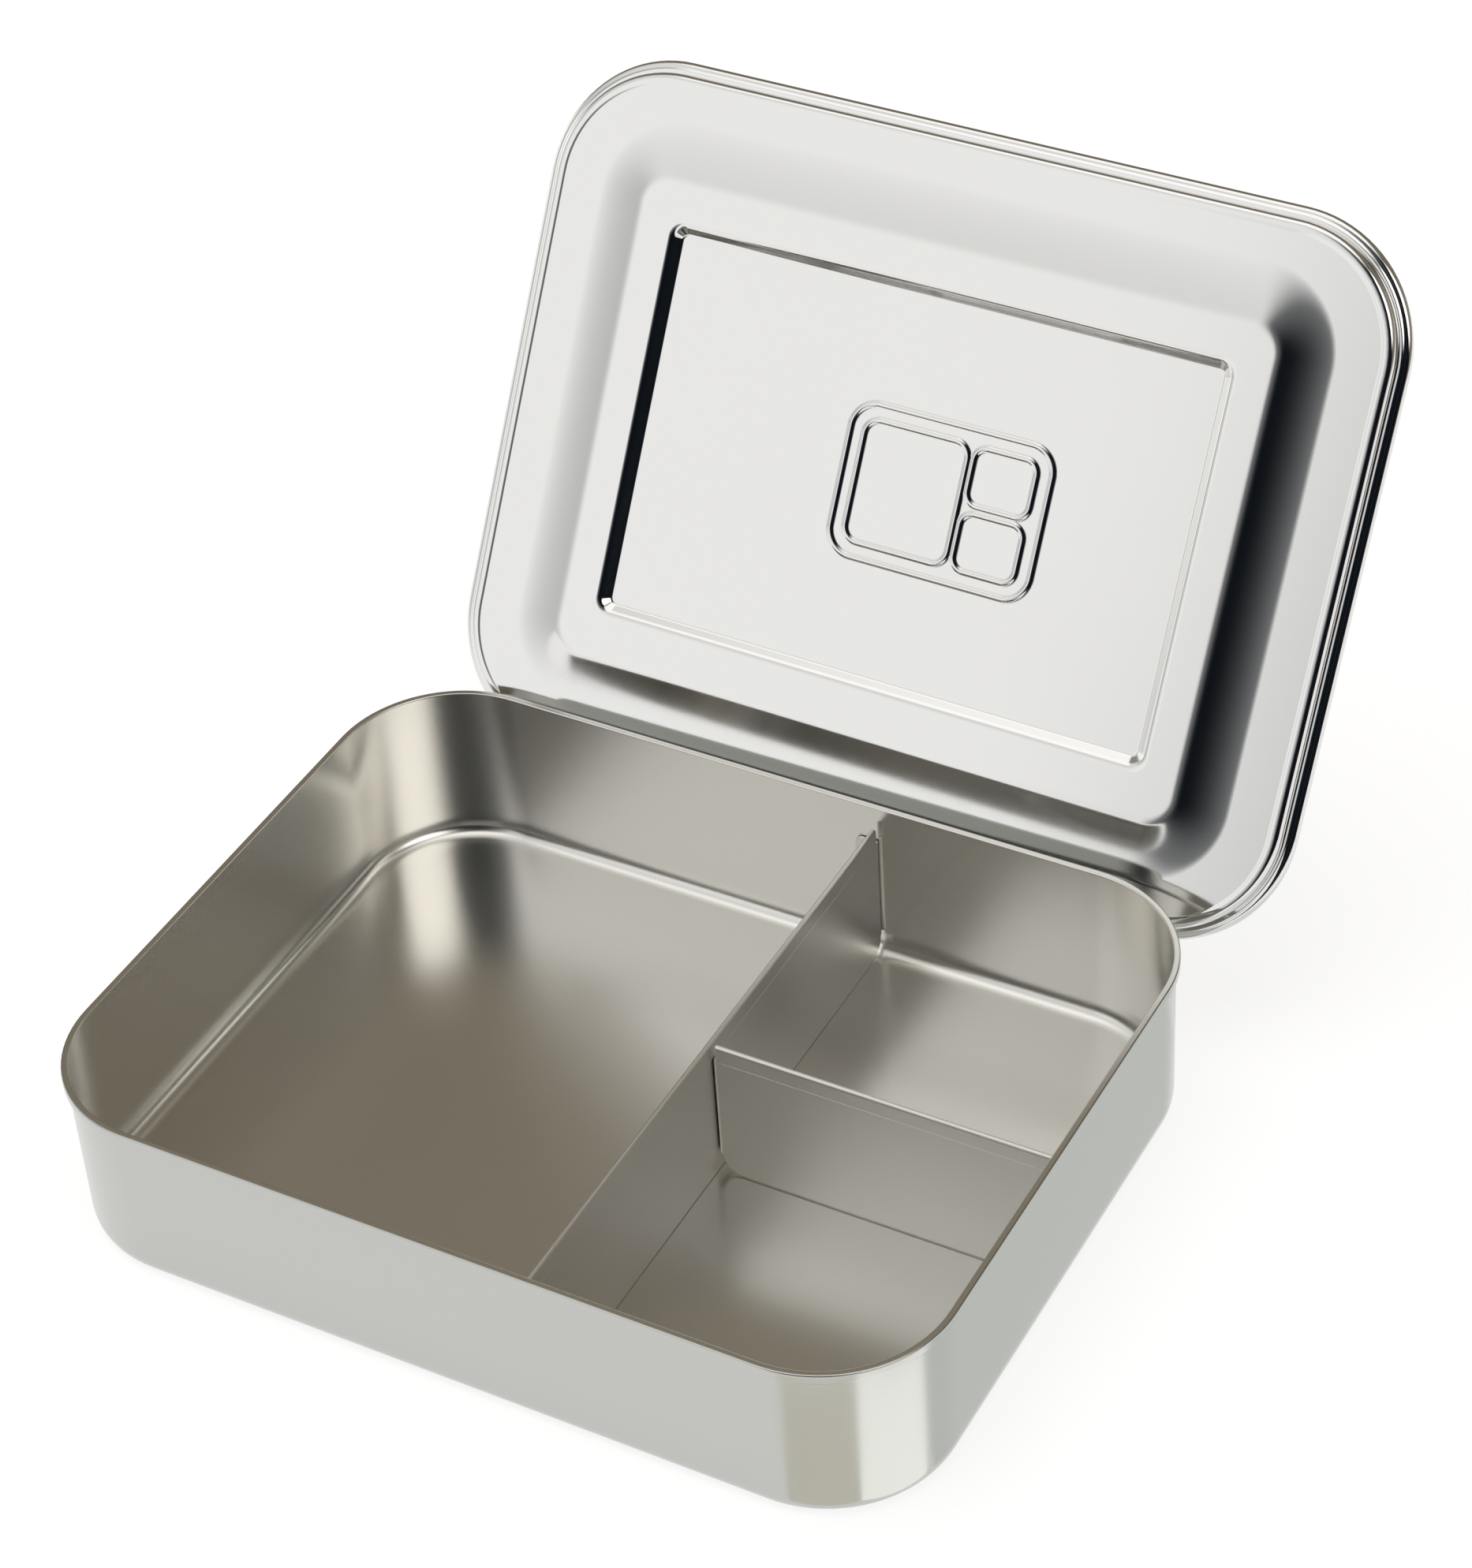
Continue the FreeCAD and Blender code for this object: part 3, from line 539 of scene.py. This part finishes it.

# %% [markdown]
# ## Steel
# Stainless sheet is one metal with several finishes: rolled satin inside the tray, duller on
# the dividers, and close to a mirror on the lid. The tray's outside is the same satin, a touch
# smoother, in a darker colour: that is painted shade, for how dark the outer walls look.
# The colour stays on the shader; fine grain comes from stretched noise, in roughness
# and in a very small bump.

# %% Steel finishes
def steel(name, colour, rough, spread, grain, bump, cloud=0.0):
    """A satin steel: roughness varies by spread with a grain stretched along one axis."""
    material = bpy.data.materials.new(name)
    material.use_nodes = True
    nodes, links = material.node_tree.nodes, material.node_tree.links
    shader = nodes["Principled BSDF"]
    shader.inputs["Base Color"].default_value = (*colour, 1)
    shader.inputs["Metallic"].default_value = 1.0
    place = nodes.new("ShaderNodeTexCoord")
    stretch = nodes.new("ShaderNodeMapping")
    stretch.inputs["Scale"].default_value = grain
    links.new(place.outputs["Object"], stretch.inputs["Vector"])
    fine = nodes.new("ShaderNodeTexNoise")
    fine.inputs["Scale"].default_value = 1.0
    fine.inputs["Detail"].default_value = 3.0
    links.new(stretch.outputs["Vector"], fine.inputs["Vector"])
    broad = nodes.new("ShaderNodeTexNoise")
    broad.inputs["Scale"].default_value = 28.0
    broad.inputs["Detail"].default_value = 2.0
    links.new(place.outputs["Object"], broad.inputs["Vector"])
    blend = nodes.new("ShaderNodeMix")
    blend.inputs["Factor"].default_value = cloud
    links.new(fine.outputs["Fac"], blend.inputs["A"])
    links.new(broad.outputs["Fac"], blend.inputs["B"])
    span = nodes.new("ShaderNodeMapRange")
    span.inputs["From Min"].default_value = 0.25
    span.inputs["From Max"].default_value = 0.75
    span.inputs["To Min"].default_value = rough - spread
    span.inputs["To Max"].default_value = rough + spread
    links.new(blend.outputs["Result"], span.inputs["Value"])
    links.new(span.outputs["Result"], shader.inputs["Roughness"])
    relief = nodes.new("ShaderNodeBump")
    relief.inputs["Strength"].default_value = 1.0
    relief.inputs["Distance"].default_value = bump
    links.new(fine.outputs["Fac"], relief.inputs["Height"])
    links.new(relief.outputs["Normal"], shader.inputs["Normal"])
    return material


inside_finish = steel("tray_satin", (0.76, 0.75, 0.715), 0.24, 0.012, (1500, 6000, 1500),
                      2e-8, 0.3)
# The tray's outside: the same steel in a darker colour, painted shade for how dark the outer
# walls look.
outside_shaded_steel = steel("tray_outside_painted_shade", (0.515, 0.52, 0.495), 0.23, 0.012,
                       (1500, 1500, 6000), 2e-8, 0.3)
divider_finish = steel("divider_dull", (0.79, 0.78, 0.75), 0.40, 0.03, (2500, 900, 2500),
                       6e-8, 0.4)
lid_finish = steel("lid_bright", (0.76, 0.755, 0.745), 0.09, 0.02, (700, 700, 700), 1e-8, 0.6)

# The inner faces take the satin and the outer faces take its darker copy, which is painted
# shade.
tray.data.materials.append(inside_finish)
tray.data.materials.append(outside_shaded_steel)
rows_inside = int(np.argmax(brace(tray_rows)[:, 0] > WALL_X + 0.5 * RIM_REACH))
face_ring = np.arange(len(tray.data.polygons)) // (len(tray.data.vertices)
                                                   // len(brace(tray_rows)))
face_ring[-2] = 0
tray.data.polygons.foreach_set("material_index", (face_ring >= rows_inside).astype(np.int32))
for piece, finish in ((long_divider, divider_finish), (short_divider, divider_finish),
                      (lid, lid_finish), (sign, lid_finish)):
    piece.data.materials.append(finish)
for node in ("long_divider_spot_welds", "short_divider_spot_welds"):
    for holder in bpy.data.objects[node].material_slots:
        holder.material = divider_finish

# %% [markdown]
# ## Floor, light and camera
# Polished steel shows what stands round it, so the room is the light: white in front and to
# the left, with a lamp far left, a soft light overhead, warm and dim behind, dark on the
# right, and a soft box high on the right.

# %% Floor
half = 4.0
sheet_mesh = bpy.data.meshes.new("floor")
under_tray = -0.0002
sheet_mesh.from_pydata([(-half, -half, under_tray), (half, -half, under_tray),
                        (half, half, under_tray), (-half, half, under_tray)], [],
                       [(0, 1, 2, 3)])
floor = bpy.data.objects.new("floor", sheet_mesh)
bpy.context.collection.objects.link(floor)
paper = bpy.data.materials.new("white_paper")
paper.use_nodes = True
shader = paper.node_tree.nodes["Principled BSDF"]
shader.inputs["Base Color"].default_value = (0.32, 0.32, 0.32, 1)
shader.inputs["Roughness"].default_value = 0.9
shader.inputs["Specular IOR Level"].default_value = 0.0
shader.inputs["Emission Color"].default_value = (1, 1, 1, 1)
shader.inputs["Emission Strength"].default_value = 0.79
sheet_mesh.materials.append(paper)

# %% Room
world = bpy.data.worlds.new("studio")
bpy.context.scene.world = world
world.use_nodes = True
nodes, links = world.node_tree.nodes, world.node_tree.links
nodes.clear()
out = nodes.new("ShaderNodeOutputWorld")
back = nodes.new("ShaderNodeBackground")
links.new(back.outputs[0], out.inputs[0])
where = nodes.new("ShaderNodeTexCoord")


def towards(direction, start, end):
    """0 to 1 as a ray's direction turns towards the given one, between two cosines."""
    dot = nodes.new("ShaderNodeVectorMath")
    dot.operation = "DOT_PRODUCT"
    dot.inputs[1].default_value = direction
    links.new(where.outputs["Generated"], dot.inputs[0])
    ramp = nodes.new("ShaderNodeMapRange")
    ramp.interpolation_type = "SMOOTHSTEP"
    ramp.inputs["From Min"].default_value = start
    ramp.inputs["From Max"].default_value = end
    links.new(dot.outputs["Value"], ramp.inputs["Value"])
    return ramp.outputs["Result"]


def mixed(factor, first, second):
    """Colour that goes from first to second; each is a colour or a socket."""
    mix = nodes.new("ShaderNodeMix")
    mix.data_type = "RGBA"
    links.new(factor, mix.inputs[0])
    for socket, value in ((mix.inputs[6], first), (mix.inputs[7], second)):
        if isinstance(value, tuple):
            socket.default_value = (*value, 1)
        else:
            links.new(value, socket)
    return mix.outputs[2]


def heading(degrees, above):
    """Direction at this many degrees right of the front, and this many above level."""
    a, e = math.radians(degrees), math.radians(above)
    return (math.sin(a) * math.cos(e), -math.cos(a) * math.cos(e), math.sin(e))


aside = towards(heading(-14.5 - 90, 0), -0.10, 0.10)
dark = mixed(towards(heading(2 - 90, 0), -0.16, 0.28), (0.005, 0.007, 0.010),
             (0.22, 0.225, 0.23))
far_side = towards(heading(-90, 0), 0.46, 0.88)
white = mixed(far_side, (1.06, 1.06, 1.05), (0.60, 0.61, 0.60))
high_up = mixed(towards((0, 0, 1), 0.40, 0.85), white, (0.84, 0.84, 0.83))
sides = mixed(aside, dark, high_up)
rear = mixed(towards((0, 1, 0), -0.08, 0.38), sides, (0.20, 0.172, 0.128))
right_rear = mixed(towards(heading(108, 0), 0.72, 0.90), rear, (0.28, 0.25, 0.215))
left_lamp = mixed(towards(heading(-88, 0), 0.93, 0.985), right_rear, (1.35, 1.34, 1.30))
overhead = mixed(towards((-0.08, 0, 0.997), 0.85, 0.955), left_lamp, (1.28, 1.27, 1.24))
soft_box = mixed(towards(heading(72, 44), 0.915, 0.965), overhead, (1.75, 1.71, 1.64))
links.new(soft_box, back.inputs["Color"])

# %% Cards beside the near corner and the right wall
def card(name, corners, colour):
    """A glowing card on the floor, corners in millimetres, that only shows in the steel."""
    mesh = bpy.data.meshes.new(name)
    mesh.from_pydata([(x * MM, y * MM, 0.0004) for x, y in corners], [], [(0, 1, 2, 3)])
    piece = bpy.data.objects.new(name, mesh)
    bpy.context.collection.objects.link(piece)
    glow = bpy.data.materials.new(name)
    glow.use_nodes = True
    shader = glow.node_tree.nodes["Principled BSDF"]
    shader.inputs["Base Color"].default_value = (0, 0, 0, 1)
    shader.inputs["Specular IOR Level"].default_value = 0.0
    shader.inputs["Emission Color"].default_value = (*colour, 1)
    shader.inputs["Emission Strength"].default_value = 1.0
    mesh.materials.append(glow)
    piece.visible_camera = False
    piece.visible_diffuse = False
    piece.visible_shadow = False
    return piece


card("bright_card", [(91.8, -72.4), (125.2, -99.4), (140.1, -42.5), (100.3, -58.7)],
     (1.50, 1.50, 1.46))
card("grey_card", [(76.8, -79.2), (68.6, -121.4), (124.8, -99.7), (91.4, -72.7)],
     (0.86, 0.83, 0.74))
card("side_card", [(101.5, -56.0), (142.0, -42.0), (175.0, 140.0), (101.5, 82.0)],
     (0.80, 0.82, 0.80))

# %% Lamp and camera
lamp_data = bpy.data.lights.new("soft_top", "AREA")
lamp_data.shape = "RECTANGLE"
lamp_data.size, lamp_data.size_y, lamp_data.energy = 1.6, 1.2, 6.0
lamp = bpy.data.objects.new("soft_top", lamp_data)
bpy.context.collection.objects.link(lamp)
lamp.location = (-0.3, -0.2, 1.6)
lamp.visible_glossy = False

from mathutils import Matrix, Vector

azimuth, elevation, roll_angle = math.radians(30.751), math.radians(39.288), -0.069167
behind = Vector((math.sin(azimuth) * math.cos(elevation),
                 -math.cos(azimuth) * math.cos(elevation), math.sin(elevation)))
level = Vector((math.cos(azimuth), math.sin(azimuth), 0))
upright = behind.cross(level)
across = level * math.cos(roll_angle) + upright * math.sin(roll_angle)
up = upright * math.cos(roll_angle) - level * math.sin(roll_angle)
spot = (Vector((0, 0, 30)) + behind * 862.974 + across * 22.777 + up * 53.166) * MM
camera_data = bpy.data.cameras.new("camera")
camera_data.lens = 94.866
camera_data.sensor_width = 36.0
camera_data.clip_start = 0.01
camera = bpy.data.objects.new("camera", camera_data)
bpy.context.collection.objects.link(camera)
facing = Matrix((across, up, behind)).transposed().to_4x4()
camera.matrix_world = Matrix.Translation(spot) @ facing
bpy.context.scene.camera = camera
bpy.context.scene.view_settings.view_transform = "Standard"
print("camera at", [round(v, 4) for v in spot])
